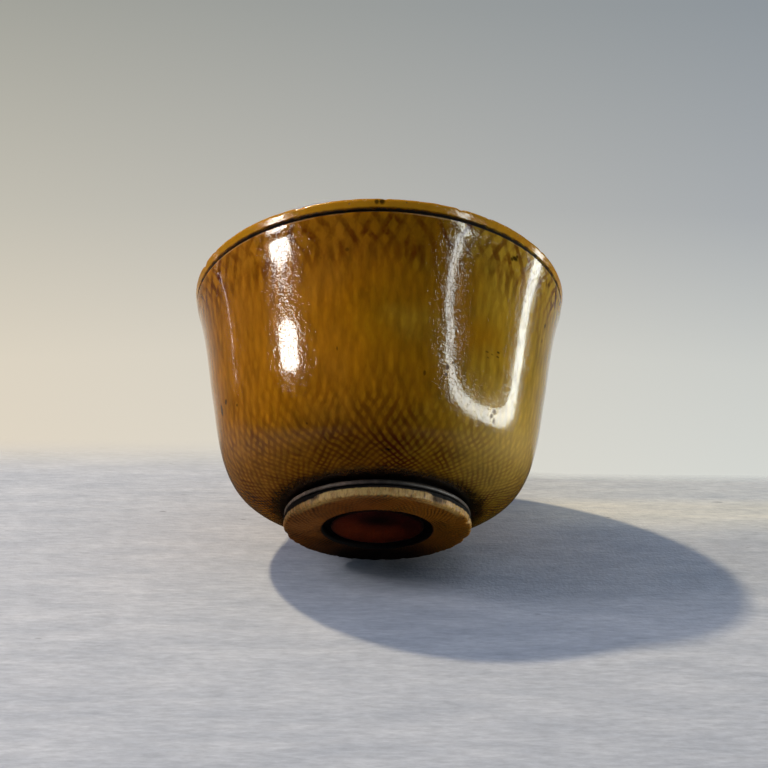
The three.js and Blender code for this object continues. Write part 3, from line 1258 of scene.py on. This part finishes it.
# White paint brushed on a board: matt, faintly streaked from side to side, with a few dark specks.
def paintedBoard():
    material, tree = newMaterial("palePaintedBoard")
    place = addNode(tree, "TexCoord").outputs["Object"]
    axes = addNode(tree, "SeparateXYZ", [place])
    backwards = axes.outputs[1]
    stretched = addNode(
        tree, "VectorMath", [place, table["brushStretch"]], operation="MULTIPLY"
    )
    brushed = addNode(
        tree,
        "TexNoise",
        {
            "Vector": stretched,
            "Scale": scaleFor(table["brush"]),
            "Detail": 5.0,
            "Roughness": 0.6,
        },
    )
    tone = addNode(tree, "ValToRGB", [brushed], stops=table["tones"])
    fine = addNode(
        tree,
        "TexNoise",
        {"Vector": stretched, "Scale": scaleFor(table["fine"]), "Detail": 4.0, "Roughness": 0.7},
    )
    grey = addNode(tree, "MapRange", [fine, 0.25, 0.75, 0.8, 1.14])
    tone = addNode(tree, "VectorMath", {0: tone, "Scale": grey}, operation="SCALE")
    dots = addNode(
        tree, "TexNoise", {"Vector": stretched, "Scale": scaleFor(table["speck"]), "Detail": 1.0}
    )
    dark = addNode(tree, "MapRange", [dots, 0.235, 0.2, 0.0, 0.6])
    tone = addNode(
        tree, "Mix", {"Factor": dark, "A": tone, "B": table["speckColour"]}, data_type="RGBA"
    )
    # painted contact shadow round where the foot stands
    contactShadow = spots(tree, place, table["contactShadow"], 0.85)
    under = addNode(tree, "Math", [contactShadow, 0.75], operation="MULTIPLY")
    tone = addNode(
        tree, "Mix", {"Factor": under, "A": tone, "B": table["contactShadowColour"]}, data_type="RGBA"
    )
    sunnyFrom, sunnyFull = table["sunnyRight"]
    right = addNode(tree, "MapRange", [axes, sunnyFrom * mm, sunnyFull * mm, 0.0, 1.0])
    for reaches, gain in table["sunny"]:
        strip = band(tree, place, backwards, *reaches)
        bright = addNode(tree, "Math", [strip, right], operation="MULTIPLY")
        tone = addNode(
            tree,
            "Mix",
            {"Factor": bright, "A": tone, "B": gain},
            data_type="RGBA",
            blend_type="MULTIPLY",
        )

    nearest, farthest = table["mirroredReach"]
    reach = addNode(tree, "VectorMath", [place], operation="LENGTH").outputs["Value"]
    gone = addNode(tree, "MapRange", [reach, nearest * mm, farthest * mm, 1.0, 0.0])
    inner, outer = table["mirroredAside"]
    aside = addNode(tree, "Math", [axes], operation="ABSOLUTE")
    far = addNode(tree, "MapRange", [aside, inner * mm, outer * mm, 0.0, 1.0])
    share = addNode(tree, "Math", [far, gone], operation="MULTIPLY")
    dimmed = addNode(
        tree,
        "Mix",
        {"Factor": share, "A": table["mirroredNear"], "B": table["mirroredFar"]},
        data_type="RGBA",
    )
    mirrored = addNode(tree, "LightPath").outputs["Is Glossy Ray"]
    tone = addNode(tree, "Mix", {"Factor": mirrored, "A": tone, "B": dimmed}, data_type="RGBA")

    pores = addNode(
        tree, "TexNoise", {"Vector": place, "Scale": scaleFor(table["pore"]), "Detail": 3.0}
    )
    bump = addNode(
        tree, "Bump", {"Strength": 1.0, "Distance": table["poreDepth"] * mm, "Height": pores}
    )
    paint = addNode(tree, "BsdfDiffuse", {"Color": tone, "Normal": bump})
    past = addNode(tree, "Math", [backwards, table["fadeFrom"] * mm], operation="SUBTRACT")
    sharpFrom, sharpFull = table["fadeRight"]
    sharper = addNode(
        tree, "MapRange", [axes, sharpFrom * mm, sharpFull * mm, 1.0, table["fadeSharper"]]
    )
    past = addNode(tree, "Math", [past, sharper], operation="MULTIPLY")
    width = (table["fadeTo"] - table["fadeFrom"]) * mm
    faded = addNode(
        tree, "MapRange", [past, 0.0, width, 0.0, 1.0], interpolation_type="SMOOTHSTEP"
    )
    turnedAway = addNode(tree, "NewGeometry").outputs["Backfacing"]
    unseen = largest(tree, [faded, turnedAway])
    clear = addNode(tree, "BsdfTransparent")
    mixed = addNode(tree, "MixShader", [unseen, paint, clear])
    addNode(tree, "OutputMaterial", {"Surface": mixed})
    return material


makeTable()
print("table made")

# Lamps: where each stands in the room (right, away from the camera, up), its size, tilt, radiance
# and colour. A lamp's use keeps it out of the reflections (fill), or shows it only there (card).
lamps = {
    "highLamp": {
        "place": (-196, 123, 405),
        "size": (20, 20),
        "radiance": 960.0,
        "colour": "#FFEED2",
    },
    "leftLamp": {
        "place": (-360, -117, 231),
        "size": (98, 48),
        "shape": "ELLIPSE",
        "tilt": 26.5,
        "radiance": 28.0,
        "colour": "#FFF6EC",
        "use": "card",
    },
    "leftFill": {
        "place": (-360, -85, 231),
        "size": (98, 48),
        "radiance": 44.0,
        "colour": "#F4F2FF",
        "use": "fill",
    },
    "rightFill": {
        "place": (262, -20, 45),
        "size": (160, 60),
        "radiance": 9.5,
        "colour": "#FCF8EC",
        "use": "fill",
    },
    "leftSlit": {
        "place": (-252, 106, 43.5),
        "size": (6, 24),
        "tilt": 27.6,
        "radiance": 4.5,
        "colour": "#F6E2E4",
        "use": "card",
    },
}
lampTarget = inRoom(0, 8, 28)

# a curved strip of light at the right, which the wall mirrors as a bright bow
bow = {
    "aside": 262.0,
    "path": [  # away, up and width of the strip
        (-146, 312, 34),
        (-156, 268, 36),
        (-166, 222, 40),
        (-169, 174, 42),
        (-151, 128, 44),
        (-118, 84, 46),
        (-75, 51, 46),
        (-24, 26, 44),
        (22, 18, 40),
        (60, 32, 36),
        (104, 68, 32),
    ],
    "radiance": 12.0,
    "colour": "#F4FAF6",
}


# a lamp's size is in metres here, and its turn is a matrix
def makeLamp(name, shape, size, look, place, turn, use):
    data = bpy.data.lights.new(name, "AREA")
    data.shape = shape
    data.size, data.size_y = size
    data.energy = look["radiance"] * math.pi * data.size * data.size_y
    data.color = linear(look["colour"])[:3]
    lamp = bpy.data.objects.new(name, data)
    bpy.context.scene.collection.objects.link(lamp)
    lamp.location = place
    lamp.rotation_euler = turn.to_euler()
    lamp.visible_diffuse = use != "card"
    lamp.visible_glossy = use != "fill"


def makeLamps():
    for name, lamp in lamps.items():
        place = inRoom(*lamp["place"])
        facing = (lampTarget - place).normalized()
        across = roomUp.cross(-facing).normalized()
        upright = Matrix((across, (-facing).cross(across), -facing)).transposed()
        turn = upright @ Matrix.Rotation(math.radians(lamp.get("tilt", 0)), 3, "Z")
        size = [length * mm for length in lamp["size"]]
        shape = lamp.get("shape", "RECTANGLE")
        makeLamp(name, shape, size, lamp, place, turn, lamp.get("use"))


def makeBow():
    for start, end in zip(bow["path"], bow["path"][1:]):
        away, up, width = [(a + b) / 2 for a, b in zip(start, end)]
        span = roomAway * (end[0] - start[0]) + roomUp * (end[1] - start[1])
        along = span.normalized()
        outwards = Vector((1, 0, 0))
        turn = Matrix((along, outwards.cross(along), outwards)).transposed()
        place = inRoom(bow["aside"], away, up)
        makeLamp("bow", "RECTANGLE", (span.length * mm, width * mm), bow, place, turn, "card")


makeLamps()
makeBow()

studio = {
    # from the table up, at the left and at the right
    "warmWall": [(0.0, "#E2D7C5"), (0.3, "#DCD3C2"), (0.6, "#C2BEB2"), (1.0, "#A3A39B")],
    "coolWall": [(0.0, "#D8DAD4"), (0.3, "#CBCDC9"), (0.6, "#A9ADB0"), (1.0, "#8F969C")],
    "wallFrom": -0.34,  # sine of the angle above level
    "wallTo": 0.06,
    "wallSide": 0.3,  # sine of the angle to either side
    "lightColour": "#AECCFE",
    "lightBehind": 0.3,
    "lightBefore": 0.36,
    "lightTurn": (-0.35, 0.4),  # the light changes from before to behind between these
    # what the gloss shows, from the dim room on the camera's side to the wall
    "mirrored": [(0.0, 0.03), (0.5, 0.1), (0.6, 0.17), (0.7, 0.31), (0.8, 0.56), (0.92, 1.0)],
}


# a pale wall for the eye, and a soft cool light from all sides for the cup and table
def makeWorld():
    world = bpy.data.worlds.new("studio")
    world.use_nodes = True
    tree = world.node_tree
    tree.nodes.clear()
    way = addNode(tree, "TexCoord").outputs["Generated"]
    rise = addNode(tree, "VectorMath", [way, roomUp], operation="DOT_PRODUCT").outputs["Value"]
    height = addNode(tree, "MapRange", [rise, studio["wallFrom"], studio["wallTo"], 0.0, 1.0])
    warm = addNode(tree, "ValToRGB", [height], stops=studio["warmWall"])
    cool = addNode(tree, "ValToRGB", [height], stops=studio["coolWall"])
    axes = addNode(tree, "SeparateXYZ", [way])
    side = studio["wallSide"]
    aside = addNode(tree, "MapRange", [axes, -side, side, 0.0, 1.0])
    tone = addNode(tree, "Mix", {"Factor": aside, "A": warm, "B": cool}, data_type="RGBA")
    beyond = addNode(tree, "VectorMath", [way, roomAway], operation="DOT_PRODUCT").outputs["Value"]
    mirrored = addNode(tree, "ValToRGB", [beyond], stops=studio["mirrored"])
    ray = addNode(tree, "LightPath")
    glossy = ray.outputs["Is Glossy Ray"]
    level = addNode(tree, "Mix", {"Factor": glossy, "A": 1.0, "B": mirrored})
    wall = addNode(tree, "Background", {"Color": tone, "Strength": level})
    behind = addNode(
        tree,
        "MapRange",
        [beyond, *studio["lightTurn"], 0.0, 1.0],
        interpolation_type="SMOOTHSTEP",
    )
    strength = addNode(
        tree, "MapRange", [behind, 0.0, 1.0, studio["lightBefore"], studio["lightBehind"]]
    )
    light = addNode(tree, "Background", {"Color": studio["lightColour"], "Strength": strength})
    seen = largest(tree, [ray.outputs["Is Camera Ray"], glossy, ray.outputs["Is Transmission Ray"]])
    both = addNode(tree, "MixShader", [seen, light, wall])
    addNode(tree, "OutputWorld", {"Surface": both})
    bpy.context.scene.world = world


makeWorld()
bpy.context.scene.view_settings.view_transform = "Standard"
print("lamps and world made")
